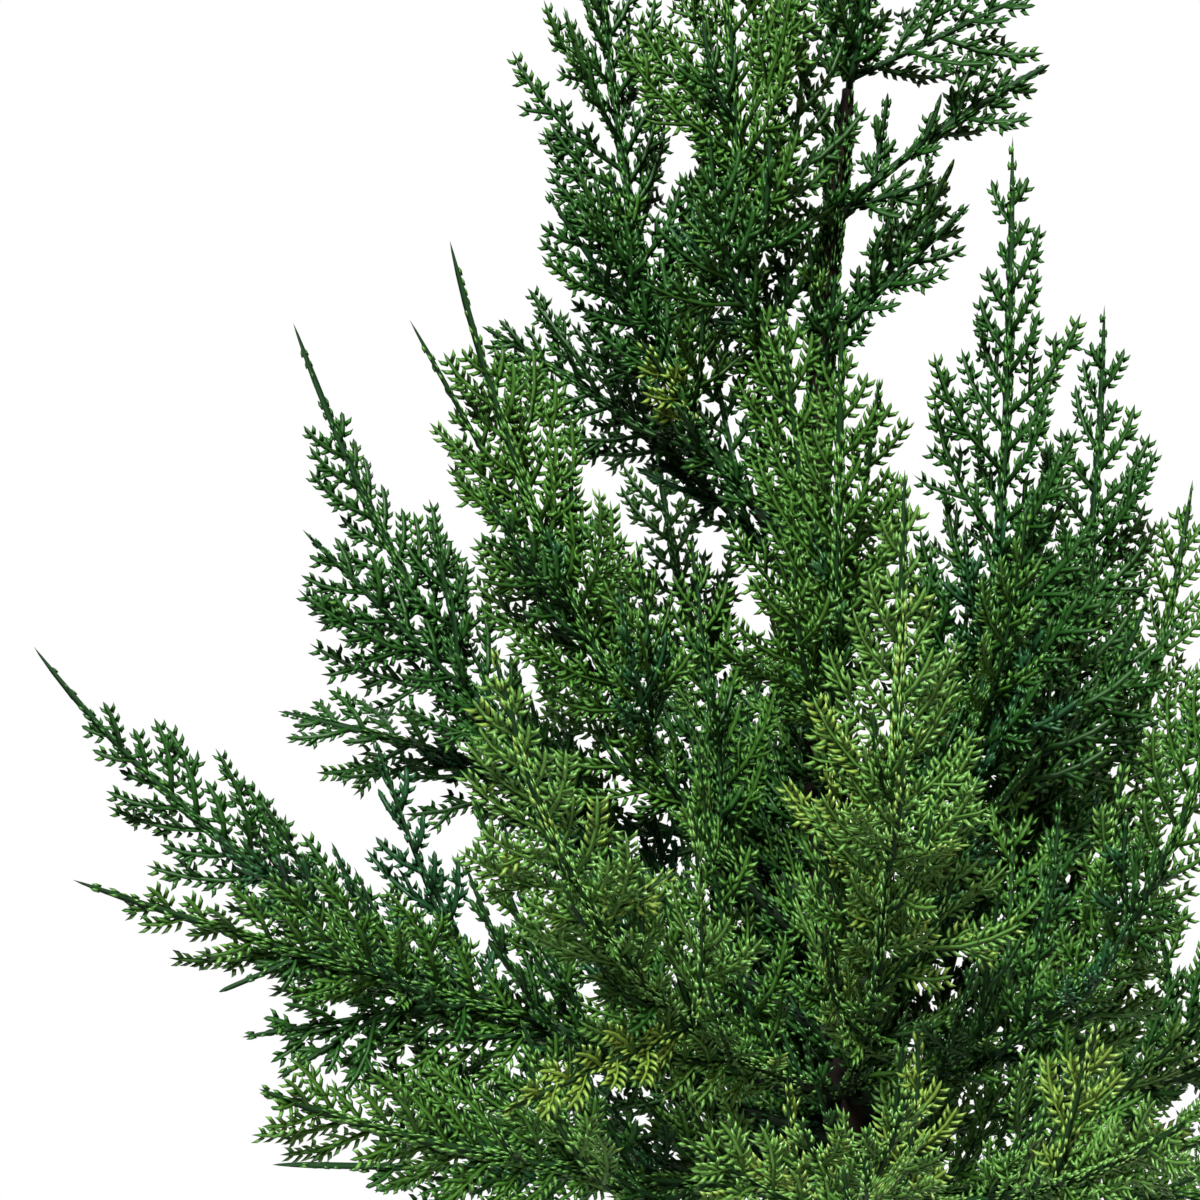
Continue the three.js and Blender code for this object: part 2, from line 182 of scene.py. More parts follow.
trunk = bmesh.new()
trunk_heights = np.linspace(0, trunk_top, round(trunk_top / TRUNK_STEP))
grow_limb(
    trunk,
    [trunk_centre(height) for height in trunk_heights],
    np.interp(trunk_heights, levels, ring_radii),
    TRUNK_SIDES,
)
for vert in trunk.verts:
    arm = vert.co - trunk_centre(vert.co.z)
    lobe = FLARE_LOBE_SHARE * cos(FLARE_LOBES * np.arctan2(arm.y, arm.x))
    vert.co += arm * lobe * np.exp(-vert.co.z / FLARE_HEIGHT)
raise_bark(trunk, FLAT_FOOT)
bark = streaked_plastic("brown_bark", BARK_DARK, BARK_LIGHT, BARK_ROUGHNESS, BARK_STREAKS, BARK_BUMP)
place_piece("trunk_bark", finish_mesh("trunk_bark", trunk), bark, ["trunk"])

# The boughs: wire-cored limbs wrapped in dark green plastic and pushed into the trunk, where the wrap
# swells to a collar. They stand in four whorls, and each ends where its foliage starts.
WHORLS = ("skirt", "low", "mid", "top")
SWEEP_OUT = 0.35
SWEEP_DOWN = 0.4
CHORD_POINTS = 201
BOUGH_RADII = (0.0034, 0.0024)
BOUGH_SIDES = 14
BOUGH_STEPS = 26
COLLAR_SWELL = 0.4
COLLAR_LENGTH = 0.008
LIMB_DARK = (0.004, 0.010, 0.004)
LIMB_LIGHT = (0.010, 0.022, 0.008)
LIMB_ROUGHNESS = 0.7
LIMB_STREAKS = 160
LIMB_BUMP = 0.0004
# Each row: the height of the foot, the way it faces (0 is right, 90 is back), how far out and how high
# its foliage reaches, how strongly it sweeps up at the end, the length of limb before the foliage
# starts, and the green of its foliage, from bluish (0) to yellowish (4). The green is partly the
# spray's own tone and partly painted light and shade: paler on the low front boughs that lie in the
# crown's shadow, and darker where a bough came out too bright in the light.
BOUGHS = {
    "skirt_left": (0.146, 200, 0.297, 0.167, 0.0, 0.042, 0.9),
    "skirt_front_left": (0.138, 218, 0.350, 0.217, 0.4, 0.042, 2.5),
    "skirt_front": (0.112, 268, 0.318, 0.188, 0.3, 0.042, 3.4),
    "skirt_front_right": (0.132, 297, 0.292, 0.209, 0.5, 0.042, 2.8),
    "skirt_right": (0.140, 342, 0.240, 0.148, 0.0, 0.042, 2.4),
    "skirt_back_right": (0.124, 38, 0.300, 0.150, 0.4, 0.042, 1.5),
    "skirt_back": (0.112, 84, 0.290, 0.135, 0.3, 0.042, 1.4),
    "skirt_back_left": (0.128, 131, 0.310, 0.165, 0.4, 0.042, 1.4),
    "low_left": (0.165, 183, 0.404, 0.412, 0.5, 0.055, 0.8),
    "low_left_front": (0.184, 203, 0.398, 0.306, 0.1, 0.055, 1.6),
    "low_front_left": (0.188, 236, 0.303, 0.415, 0.8, 0.055, 2.8),
    "low_front": (0.190, 273, 0.230, 0.493, 0.9, 0.055, 3.2),
    "low_front_right": (0.186, 306, 0.275, 0.430, 0.9, 0.055, 1.7),
    "low_right": (0.168, 357, 0.390, 0.375, 0.9, 0.055, 1.1),
    "low_back_right": (0.176, 32, 0.225, 0.499, 0.8, 0.055, 1.8),
    "low_back": (0.170, 96, 0.380, 0.380, 0.9, 0.055, 1.2),
    "low_back_left": (0.180, 122, 0.314, 0.353, 0.7, 0.055, 1.2),
    "mid_left": (0.212, 176, 0.277, 0.575, 0.5, 0.100, 1.0),
    "mid_left_front": (0.250, 208, 0.215, 0.606, 0.5, 0.075, 1.8),
    "mid_left_back": (0.282, 157, 0.311, 0.376, -0.3, 0.045, 1.4),
    "mid_front": (0.325, 271, 0.130, 0.566, 0.7, 0.045, 1.5),
    "mid_right_front": (0.262, 322, 0.105, 0.660, 1.4, 0.045, 1.2),
    "mid_right": (0.244, 12, 0.140, 0.585, 1.3, 0.045, 1.2),
    "mid_back": (0.268, 112, 0.230, 0.525, 0.6, 0.045, 0.8),
    "top_left": (0.460, 193, 0.114, 0.800, 1.0, 0.038, 1.4),
    "top_front": (0.515, 225, 0.070, 0.850, 1.2, 0.038, 1.8),
    "top_right": (0.625, 357, 0.108, 0.702, -0.2, 0.024, 1.3),
    "top_back_left": (0.430, 146, 0.205, 0.580, -0.3, 0.038, 0.7),
    "top_back": (0.560, 38, 0.090, 0.662, 0.2, 0.028, 1.2),
}


def mix(pair, share):
    """The value at a share of the way from the first of a pair to the second."""
    return pair[0] + (pair[1] - pair[0]) * share


def whorl_of(name):
    """The whorl of a bough, which its name starts with. The leader counts with the top."""
    return "top" if name == "leader" else name.split("_")[0]


def bough_line(start, facing, reach, rise, sweep):
    """The three points of the curve that a bough and its foliage follow."""
    out = np.array((cos(radians(facing)), sin(radians(facing)), 0))
    up = np.array((0, 0, 1))
    middle = out * reach * (0.5 + SWEEP_OUT * sweep) + up * rise * (0.5 - SWEEP_DOWN * sweep)
    return np.array((start, start + middle, start + out * reach + up * rise))


def on_curve(curve, share):
    """The points of a curve, or of many curves at once, at a share of the way."""
    share = np.asarray(share)[..., None]
    start, middle, end = (curve[..., corner, :] for corner in range(3))
    return start * (1 - share) ** 2 + 2 * middle * share * (1 - share) + end * share**2


def stretch(curve, first, last):
    """The part of a curve between two shares of the way."""
    start, middle, end = curve
    turn_in = start + (middle - start) * first
    turn_out = middle + (end - middle) * first
    bend = turn_in + (turn_out - turn_in) * last
    return np.array((on_curve(curve, first), bend, on_curve(curve, last)))


def chords(curve):
    """The lengths of many short chords, one after the other along a curve."""
    points = on_curve(curve, np.linspace(0, 1, CHORD_POINTS))
    return np.linalg.norm(np.diff(points, axis=0), axis=1)


def share_at(curve, length):
    """The share of the way at a length from the curve's start."""
    so_far = np.concatenate(([0], np.cumsum(chords(curve))))
    return np.interp(length, so_far, np.linspace(0, 1, CHORD_POINTS))


lines = {}
limbs = {whorl: bmesh.new() for whorl in WHORLS}
for name, (foot, facing, reach, tip, sweep, bare, green) in BOUGHS.items():
    line = bough_line(np.array(trunk_centre(foot)), facing, reach, tip - foot, sweep)
    lines[name] = (line, facing, bare, green)
    shares = np.linspace(0, 1, BOUGH_STEPS)
    clear = np.maximum(shares * bare - np.interp(foot, levels, ring_radii), 0)
    collar = 1 + COLLAR_SWELL * np.exp(-clear / COLLAR_LENGTH)
    path = on_curve(stretch(line, 0, share_at(line, bare)), shares)
    radii = mix(BOUGH_RADII, shares) * collar
    grow_limb(limbs[whorl_of(name)], [Vector(point) for point in path], radii, BOUGH_SIDES)
wrapped = streaked_plastic("wrapped_limb", LIMB_DARK, LIMB_LIGHT, LIMB_ROUGHNESS, LIMB_STREAKS, LIMB_BUMP)
for whorl, shape in limbs.items():
    raise_bark(shape, 0)
    mesh = finish_mesh(f"boughs_{whorl}", shape)
    nodes = [f"bough_{name}" for name in BOUGHS if whorl_of(name) == whorl]
    place_piece(f"boughs_{whorl}", mesh, wrapped, nodes)

# The sprays: flat flame-shaped shoots of soft plastic. The moulded stem on each bough runs on as its main
# spray, with side sprays round it that turn up to the light and short fill sprays that hide the limb. The
# leader is the same on the trunk's tip, and spurs and trunk sprays are plugged in where gaps would show.

# The kinds of spray, which number the values that are given by kind.
MAIN, SIDE, STALK, FILL = range(4)
UP = np.array((0.0, 0.0, 1.0))
TO_BACK = (0, 1, 0)
GOLDEN_ANGLE = pi * (3 - 5**0.5)
STEM_SHARE = 0.3
ROLL_RANGE = 1.2
SIDE_ROLL_RANGE = 1.8
LEADER_REACH = 0.009

# Side sprays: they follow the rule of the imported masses.
SIDE_SPACING = 0.080
SIDE_SPRAYS_LEAST = 4
SIDE_FIRST = 0.02
SIDE_LAST = 0.5
SIDE_ANGLE = radians(40)
SIDE_LENGTH = (0.32, 0.54)
SHORT_SIDES = {"mid_left": 0.5, "top_left": 0.7, "top_back_left": 0.8}
SIDE_UPTURN = (1.7, 0.35)
SIDE_FOLLOW = 0.4
SIDE_BEND = 0.45

# Fill sprays, with a spacing for each whorl. Open boughs have none, so that light shows through them.
FILL_SPACING = (0.036, 0.038, 0.042, 0.044)
FILL_LAST = 0.62
FILL_LENGTH = (0.22, 0.38)
FILL_UPTURN = 0.7
OPEN_BOUGHS = ("top_left", "top_right", "top_back", "top_back_left", "leader")

# The bare spikes at the ends of some main sprays.
SPIKE_LENGTH = 0.036
SPIKED_BOUGHS = {
    "skirt_left": SPIKE_LENGTH,
    "low_left": SPIKE_LENGTH,
    "low_left_front": SPIKE_LENGTH / 2,
    "mid_left": SPIKE_LENGTH,
    "mid_left_front": SPIKE_LENGTH,
}

# Spurs: the bough, the share of the way along it, the tip, the length of the spike and the green.
SPURS = (
    ("mid_left_front", 0.42, (-0.211, -0.090, 0.569), SPIKE_LENGTH, 2),
    ("low_left_front", 0.70, (-0.299, -0.123, 0.251), SPIKE_LENGTH, 1),
    ("low_left_front", 0.55, (-0.272, -0.120, 0.210), 0, 1),
    ("skirt_left", 0.45, (-0.255, -0.050, 0.215), 0, 1),
    ("low_left_front", 0.35, (-0.235, -0.100, 0.225), 0, 2),
    ("low_front_left", 0.60, (-0.085, -0.190, 0.312), 0, 4),
    ("low_front_right", 0.30, (0.085, -0.030, 0.365), 0, 2),
    ("low_right", 0.30, (0.150, -0.040, 0.300), 0, 2),
    ("low_right", 0.22, (0.165, 0.030, 0.225), 0, 1),
    ("low_right", 0.15, (0.150, 0.060, 0.235), 0, 1),
    ("low_front_left", 0.35, (-0.165, -0.205, 0.205), 0, 4),
    ("skirt_front", 0.30, (0.020, -0.200, 0.215), 0, 3),
    ("skirt_front", 0.35, (-0.030, -0.190, 0.200), 0, 3),
    ("skirt_front", 0.40, (-0.085, -0.215, 0.195), 0, 3),
    ("skirt_front_right", 0.55, (0.103, -0.205, 0.245), 0, 4),
    ("skirt_front_right", 0.35, (0.140, -0.120, 0.270), 0, 2),
    ("skirt_right", 0.35, (0.175, -0.060, 0.235), 0, 3),
    ("skirt_back_right", 0.30, (0.185, 0.100, 0.225), 0, 1),
    ("skirt_back_right", 0.20, (0.125, 0.110, 0.235), 0, 1),
    ("mid_front", 0.25, (-0.033, -0.080, 0.578), 0, 2),
    ("mid_front", 0.30, (0.012, -0.115, 0.540), 0, 2),
    ("mid_right", 0.35, (0.150, 0.030, 0.500), 0, 1),
    ("top_left", 0.36, (-0.100, -0.045, 0.562), 0, 4),
    ("top_left", 0.38, (-0.147, -0.030, 0.637), 0, 1),
    ("top_right", 0.05, (0.047, -0.021, 0.643), 0, 1),
    ("top_back", 0.12, (0.064, -0.012, 0.632), 0, 1),
    ("leader", 0.02, (0.102, -0.017, 0.740), 0, 1),
    ("leader", 0.00, (0.020, -0.030, 0.760), 0, 1),
    ("mid_left", 0.60, (-0.205, 0.010, 0.475), 0, 1),
    ("low_back_right", 0.15, (0.075, 0.060, 0.300), 0, 1),
    ("low_left_front", 0.50, (-0.288, -0.125, 0.230), 0, 1),
    ("mid_left", 0.55, (-0.268, -0.010, 0.470), 0, 1),
)

# Trunk sprays: the whorl, how many, from which height to which, the ways they face and their reach.
TRUNK_SPRAYS = (
    ("skirt", 50, (0.08, 0.30), (-10, 165), (0.080, 0.190)),
    ("low", 8, (0.15, 0.26), (190, 350), (0.060, 0.100)),
    ("mid", 9, (0.27, 0.43), (180, 360), (0.050, 0.085)),
    ("top", 10, (0.44, 0.66), (90, 290), (0.045, 0.075)),
)
TRUNK_SPRAY_LEAN = 0.35

# The greens in which sprays are moulded, and how they are shared out.
GREENS = {
    "blue_green": (0.014, 0.080, 0.022),
    "deep_green": (0.018, 0.086, 0.010),
    "mid_green": (0.045, 0.142, 0.015),
    "bright_green": (0.088, 0.214, 0.034),
    "yellow_green": (0.148, 0.250, 0.034),
}
# The leader's green, raised as painted light, and that of the trunk sprays, which lie deep in the crown
# and take a deep green, partly painted shade.
LEADER_GREEN = 1.5
TRUNK_GREEN = 1.2
GREEN_SPREAD = 1.4
# Fill sprays and the needles on the limbs lie inside the crown and are painted this many greens darker:
# painted shade.
INNER_PAINTED_SHADE = 1.0

# The stems of the sprays, by kind: name, radius at foot and tip, and rings.
STEMS = (
    ("main_stems", (0.0026, 0.0018), 12),
    ("side_stems", (0.0018, 0.0013), 10),
    ("stalks", (0.0025, 0.0024), 8),
    ("fill_stems", (0.0018, 0.0013), 6),
)
# The stems are a deeper green than the needles: partly the plastic's own deep green, partly painted shade
# for the gaps inside the sprays where they run.
STEM_PAINTED_SHADE_GREEN = (0.007, 0.030, 0.007)
STEM_FINISH = (0.65, 0.15)

# How every shoot ends in a point, and the three corners of its section.
TIP_SHARE = 0.09
TIP_CROWDING = 1.6
TIP_ROUNDNESS = 0.6
TUBE_CORNERS = (pi / 2, pi * 7 / 6, pi * 11 / 6)

# Counters for the repeatable numbers.
SEED_STRIDE = 127.1
SALT_STRIDE = 311.7
SEED_SCALE = 43758.5453
LEADER_SEED = 7
STALK_SEED = 13
SIDE_SEED = 40
BOUGH_SEED = 100
FILL_SEED = 1000
SPUR_SEED = 8000
TRUNK_SPRAY_SEED = 9000
MAIN_ROLL_SALT = 1
SIDE_TURN_SALT = 2
FILL_TURN_SALT = 3
TRUNK_REACH_SALT = 4
TRUNK_FACING_SALT = 5
SIDE_LENGTH_SALT = 10
SIDE_ROLL_SALT = 20
FILL_LENGTH_SALT = 80
FILL_ROLL_SALT = 100
GREEN_SALT = 1065


def seeded(counter, salt):
    """Repeatable numbers from 0 to 1 for pairs of counters."""
    wave = np.sin(np.asarray(counter) * SEED_STRIDE + salt * SALT_STRIDE) * SEED_SCALE
    return wave - np.floor(wave)


def unit(vectors):
    """Directions of length 1."""
    return vectors / np.linalg.norm(vectors, axis=-1, keepdims=True)


def heading(curve, share):
    """The direction of a curve, or of many curves at once, at a share of the way."""
    share = np.asarray(share)[..., None]
    start, middle, end = (curve[..., corner, :] for corner in range(3))
    return unit((middle - start) * (1 - share) + (end - middle) * share)


def framing(curve, share, near):
    """Along a curve, across it near a given way, and square to both."""
    along = heading(curve, share)
    across = unit(near - along * (near * along).sum(axis=-1, keepdims=True))
    return along, across, np.cross(along, across)


def turned(near, axis, angle):
    """A direction turned about an axis that it may lean on."""
    level = axis * (near @ axis)
    side = near - level
    return level + side * cos(angle) + np.cross(axis, side) * sin(angle)


def rolled(spine, roll):
    """The way across a flat spray that is rolled about its own line, from broadside to the front."""
    return turned(np.cross(TO_BACK, heading(spine, 0)), heading(spine, 0), roll)


def side_spine(line, share, turn, length, upturn, near):
    """The curve of a side spray: it leaves the stem at an angle and turns up."""
    root = on_curve(line, share)
    along, across, square = framing(line, share, near)
    out = along * cos(SIDE_ANGLE) + (across * cos(turn) + square * sin(turn)) * sin(SIDE_ANGLE)
    end = unit(out + along * SIDE_FOLLOW + UP * upturn)
    return np.array((root, root + out * length * SIDE_BEND, root + end * length))


def side_sprays(line, start, across, seed, fullness):
    """The curve, the way across and the seed of each side spray on a bough."""
    count = max(SIDE_SPRAYS_LEAST, round(chords(line).sum() / SIDE_SPACING))
    for side in range(count):
        root = mix((start, 1), mix((SIDE_FIRST, SIDE_LAST), side / (count - 1)))
        room = chords(stretch(line, root, 1)).sum()
        reach = room * mix(SIDE_LENGTH, seeded(seed, SIDE_LENGTH_SALT + side)) * fullness
        turn = side * GOLDEN_ANGLE + seeded(seed, SIDE_TURN_SALT) * pi
        spine = side_spine(line, root, turn, reach, mix(SIDE_UPTURN, side / (count - 1)), across)
        roll = SIDE_ROLL_RANGE * (seeded(seed, SIDE_ROLL_SALT + side) - 0.5)
        yield spine, rolled(spine, roll), seed + SIDE_SEED * (side + 1)


def fill_sprays(line, start, across, seed, fullness, spacing):
    """The curve, the way across and the seed of each fill spray on a bough."""
    length = chords(line).sum()
    for extra in range(round(length * FILL_LAST / spacing)):
        root = mix((start, 1), (extra + 0.5) * spacing / length)
        room = chords(stretch(line, root, 1)).sum()
        reach = room * mix(FILL_LENGTH, seeded(seed, FILL_LENGTH_SALT + extra)) * fullness
        turn = (extra + 0.5) * GOLDEN_ANGLE + seeded(seed, FILL_TURN_SALT) * pi
        spine = side_spine(line, root, turn, reach, FILL_UPTURN, across)
        roll = SIDE_ROLL_RANGE * (seeded(seed, FILL_ROLL_SALT + extra) - 0.5)
        yield spine, rolled(spine, roll), seed + FILL_SEED + SIDE_SEED * extra


def other_green(seed):
    """How far the green of a side spray lies from that of its bough."""
    return GREEN_SPREAD * (seeded(seed, GREEN_SALT) - 0.5)


def pointed_tubes(twigs, radii, rings):
    """Three-sided tubes along many curves, drawn out to a point: their corners and triangles."""
    every = np.ones(len(twigs["seed"]))
    corners = []
    for ring in range(rings):
        share = 1 - (1 - ring / rings) ** TIP_CROWDING
        _, across, square = framing(twigs["curve"], every * share, twigs["near"])
        centre = on_curve(twigs["curve"], every * share)
        radius = mix(radii, share) * min(1, (1 - share) / TIP_SHARE) ** TIP_ROUNDNESS
        for turn in TUBE_CORNERS:
            corners.append(centre + (across * cos(turn) + square * sin(turn)) * radius)
    corners.append(on_curve(twigs["curve"], every))
    faces = [(0, 2, 1)]
    for ring in range(rings - 1):
        for side in range(3):
            here, over = ring * 3 + side, ring * 3 + (side + 1) % 3
            faces += [(here, over, over + 3), (here, over + 3, here + 3)]
    last = (rings - 1) * 3
    faces += [(last + side, last + (side + 1) % 3, rings * 3) for side in range(3)]
    return np.stack(corners, axis=1), np.array(faces)


def place_shoots(name, corners, faces, material, whorl):
    """Joins many like shoots into one piece that stands for the foliage of a whorl."""
    mesh = bpy.data.meshes.new(name)
    rows = faces[None] + np.arange(len(corners))[:, None, None] * corners.shape[1]
    mesh.vertices.add(corners.shape[0] * corners.shape[1])
    mesh.vertices.foreach_set("co", corners.astype(np.float32).ravel())
    mesh.loops.add(rows.size)
    mesh.loops.foreach_set("vertex_index", rows.astype(np.int32).ravel())
    mesh.polygons.add(rows.size // 3)
    mesh.polygons.foreach_set("loop_start", np.arange(0, rows.size, 3, dtype=np.int32))
    mesh.update(calc_edges=True)
    nodes = [f"foliage_{row}" for row in lines if whorl_of(row) == whorl]
    place_piece(name, mesh, material, nodes)


def chosen(twigs, mask):
    """The twigs that a mask picks out."""
    return {key: values[mask] for key, values in twigs.items()}


leader_rise = cad_box[1].z - trunk_top
leader_line = bough_line(np.array(trunk_centre(trunk_top)), 0, LEADER_REACH, leader_rise, 0)
lines["leader"] = (leader_line, 0, 0, LEADER_GREEN)
sprays = []
for order, (name, (line, facing, bare, green)) in enumerate(lines.items(), 1):
    seed = LEADER_SEED if name == "leader" else BOUGH_SEED * order
    whorl = WHORLS.index(whorl_of(name))
    start = share_at(line, bare)
    fork = mix((start, 1), STEM_SHARE)
    spine = stretch(line, fork, 1)
    near = rolled(spine, ROLL_RANGE * (seeded(seed, MAIN_ROLL_SALT) - 0.5))
    sprays.append((spine, near, seed, whorl, MAIN, SPIKED_BOUGHS.get(name, 0), green))
    sprays.append((stretch(line, start, fork), near, seed + STALK_SEED, whorl, STALK, 0, green))
    across = np.array((-sin(radians(facing)), cos(radians(facing)), 0))
    fullness = SHORT_SIDES.get(name, 1)
    for spine, near, own in side_sprays(line, start, across, seed, fullness):
        sprays.append((spine, near, own, whorl, SIDE, 0, green + other_green(own)))
    if name not in OPEN_BOUGHS:
        for spine, near, own in fill_sprays(line, start, across, seed, fullness, FILL_SPACING[whorl]):
            # Fill sprays lie inside the bough, so their green is painted darker: painted shade.
            inner_shaded_green = green + other_green(own) - INNER_PAINTED_SHADE
            sprays.append((spine, near, own, whorl, FILL, 0, inner_shaded_green))

for number, (name, share, tip, spike, green) in enumerate(SPURS):
    root = on_curve(lines[name][0], share)
    spine = np.array((root, (root + tip) / 2, tip))
    near = np.cross(TO_BACK, unit(tip - root))
    seed = SPUR_SEED + SIDE_SEED * number
    sprays.append((spine, near, seed, WHORLS.index(whorl_of(name)), SIDE, spike, green))

for stage, (whorl, count, heights, facings, reaches) in enumerate(TRUNK_SPRAYS, 1):
    for extra in range(count):
        seed = TRUNK_SPRAY_SEED * stage + SIDE_SEED * extra
        facing = radians(mix(facings, seeded(seed, TRUNK_FACING_SALT)))
        out = np.array((cos(facing), sin(facing), 0))
        half = mix(reaches, seeded(seed, TRUNK_REACH_SALT)) / 2
        root = np.array(trunk_centre(mix(heights, extra / (count - 1))))
        middle = root + unit(out + UP) * half
        spine = np.array((root, middle, middle + unit(out * TRUNK_SPRAY_LEAN + UP) * half))
        green = TRUNK_GREEN + other_green(seed)
        sprays.append((spine, np.cross(out, UP), seed, WHORLS.index(whorl), FILL, 0, green))

# The sprays as columns, which sprigs and twigs share later.
curves, ways_across, seeds, whorls, kinds, spike_lengths, greens = zip(*sprays)
spines = {
    "curve": np.array(curves),
    "near": np.array(ways_across),
    "seed": np.array(seeds, float),
    "whorl": np.array(whorls),
    "kind": np.array(kinds),
    "spike": np.array(spike_lengths),
    "tone": np.clip(np.round(greens), 0, len(GREENS) - 1).astype(int),
}

stem_painted_shade_green = plastic("stem_painted_shade_green", STEM_PAINTED_SHADE_GREEN, *STEM_FINISH)
for index, whorl in enumerate(WHORLS):
    for kind, (name, radii, rings) in enumerate(STEMS):
        mine = chosen(spines, (spines["whorl"] == index) & (spines["kind"] == kind))
        place_shoots(f"{name}_{whorl}", *pointed_tubes(mine, radii, rings), stem_painted_shade_green, whorl)

# The sprigs: side twigs of the same plastic that leave a spray in two ranks, longest near its foot like a
# flame, and carry shorter twigs of their own. They are moulded in one piece with the spray.

# Sprigs: by kind of spray, apart from spread and crowding, which are by whorl.
SPRIG_SPACING = (0.0088, 0.0105, 0.0110, 0.0120)
SPRIG_REACH = (0.050, 0.046, 0.046, 0.026)
SPRIG_REACH_SHARE = (0.14, 0.12, 0.0, 0.2)
SPRIG_LIFT = (0.42, 0.55, 1.0, 0.8)
SPRIG_SPREAD = (1.0, 0.88, 1.04, 1.12)
SPRIG_CROWDING = (1.0, 1.0, 0.95, 0.78)
SPRIG_ANGLE = (0.72, 0.44)
SPRIG_RADIUS = (0.0014, 0.0011)
SPRIG_RINGS = 4
SPRIG_FIRST = 0.03
SPRIG_END = 0.020
SPRIG_LEAST = 0.016
SPRIG_MOST = 0.6
SPRIG_SALT = 51

# Twigs on the sprigs.
TWIG_SPACING = 0.0090
TWIG_SHARE = 0.42
TWIG_ANGLE = (0.62, 0.50)
TWIG_LIFT = 0.16
TWIG_RADIUS = (0.0012, 0.0010)
TWIG_RINGS = 2
TWIG_FIRST = 0.16
TWIG_END = 0.013
TWIG_LEAST = 0.009
TWIG_SALT = 61

# What sprigs and twigs share. The girth of their shafts is by green, because the darker sprays come
# from a stouter mould. The shafts are painted darker than their needles, more so on the darker greens:
# painted shade for the gaps between the needles.
SHAFT_GIRTH = (1.35, 1.25, 1.05, 0.90, 0.90)
SHAFT_PAINTED_SHADES = (0.60, 0.62, 0.66, 0.70, 0.70)
SHAFT_FINISH = (0.5, 0.25)
LENGTH_VARIATION = (0.52, 1.28)
ANGLE_VARIATION = (0.85, 1.15)
CURL = 0.32
FLAME_FOOT = 0.42
FLAME_WIDEST = 0.36
FLAME_POINT = 0.45
LEAST_LEAFY_SHARE = 0.4
FEW_CHORD_POINTS = 9
STATION_STRIDE = 1.3
SHOOT_STRIDE = 3.7


def flame(share):
    """How long the sprigs are along a spray, as a share of the longest."""
    rise = np.clip(share / FLAME_WIDEST, 0, 1)
    return mix((FLAME_FOOT, 1), rise * rise * (3 - 2 * rise)) * (1 - share) ** FLAME_POINT


def lengths(twigs):
    """The lengths of many curves, from a few chords."""
    every = np.ones(len(twigs["seed"]))
    shares = np.linspace(0, 1, FEW_CHORD_POINTS)
    points = np.stack([on_curve(twigs["curve"], every * share) for share in shares])
    return np.linalg.norm(np.diff(points, axis=0), axis=2).sum(axis=0)


def stations(twigs, spacing, first, last):
    """Places set out along many curves: whose curve, the number on it, and the share of its way."""
    count = np.maximum(1, np.round(lengths(twigs) * (last - first) / spacing)).astype(int)
    owner = np.repeat(np.arange(len(count)), count)
    number = np.arange(len(owner)) - np.repeat(np.cumsum(count) - count, count)
    return owner, number, first + (last - first)[owner] * (number + 0.5) / count[owner]


def short_of_tip(twigs, margin):
    """The share of the way at which a margin is left to the tip of each curve."""
    return np.maximum(1 - margin / lengths(twigs), LEAST_LEAFY_SHARE)


def two_ranked(twigs, owner, number, share, lift, salt):
    """At each place: a counter, along its twig, and the way out to the left and right by turns."""
    counter = twigs["seed"][owner] + number * STATION_STRIDE
    along, across, square = framing(twigs["curve"][owner], share, twigs["near"][owner])
    hand = np.where(number % 2, 1.0, -1.0)
    tilt = lift[owner] * (2 * seeded(counter, salt) - 1) * pi / 2
    outward = across * (hand * np.cos(tilt))[:, None] + square * np.sin(tilt)[:, None]
    return counter, along, outward


def sprout(twigs, spacing, first, last, longest, least, angles, lift, salt):
    """Side twigs on many curves, which curl forward as they grow."""
    owner, number, share = stations(twigs, spacing, first, last)
    counter, along, outward = two_ranked(twigs, owner, number, share, lift, salt)
    angle = mix(angles, share) * mix(ANGLE_VARIATION, seeded(counter, salt + 1))
    reach = longest[owner] * flame(share / last[owner]) * mix(LENGTH_VARIATION, seeded(counter, salt + 2))
    reach = np.maximum(reach, least)

    def half_way(turn):
        return (along * np.cos(turn)[:, None] + outward * np.sin(turn)[:, None]) * reach[:, None] / 2

    root = on_curve(twigs["curve"][owner], share)
    middle = root + half_way(angle + CURL)
    shoots = {key: values[owner] for key, values in twigs.items()}
    shoots["curve"] = np.stack((root, middle, middle + half_way(angle - CURL)), axis=1)
    shoots["near"] = outward
    shoots["seed"] = counter * SHOOT_STRIDE + salt
    return shoots


reach_share = np.take(SPRIG_REACH_SHARE, spines["kind"])
longest_sprig = np.take(SPRIG_REACH, spines["kind"]) + reach_share * lengths(spines)
longest_sprig *= np.take(SPRIG_SPREAD, spines["whorl"])
longest_sprig = np.minimum(longest_sprig, SPRIG_MOST * lengths(spines))
sprigs = sprout(
    spines,
    spacing=np.take(SPRIG_SPACING, spines["kind"]) * np.take(SPRIG_CROWDING, spines["whorl"]),
    first=SPRIG_FIRST,
    last=short_of_tip(spines, spines["spike"] + SPRIG_END),
    longest=longest_sprig,
    least=SPRIG_LEAST,
    angles=SPRIG_ANGLE,
    lift=np.take(SPRIG_LIFT, spines["kind"]),
    salt=SPRIG_SALT,
)
twigs = sprout(
    sprigs,
    spacing=TWIG_SPACING,
    first=TWIG_FIRST,
    last=short_of_tip(sprigs, TWIG_END),
    longest=lengths(sprigs) * TWIG_SHARE,
    least=TWIG_LEAST,
    angles=TWIG_ANGLE,
    lift=np.full(len(sprigs["seed"]), TWIG_LIFT),
    salt=TWIG_SALT,
)
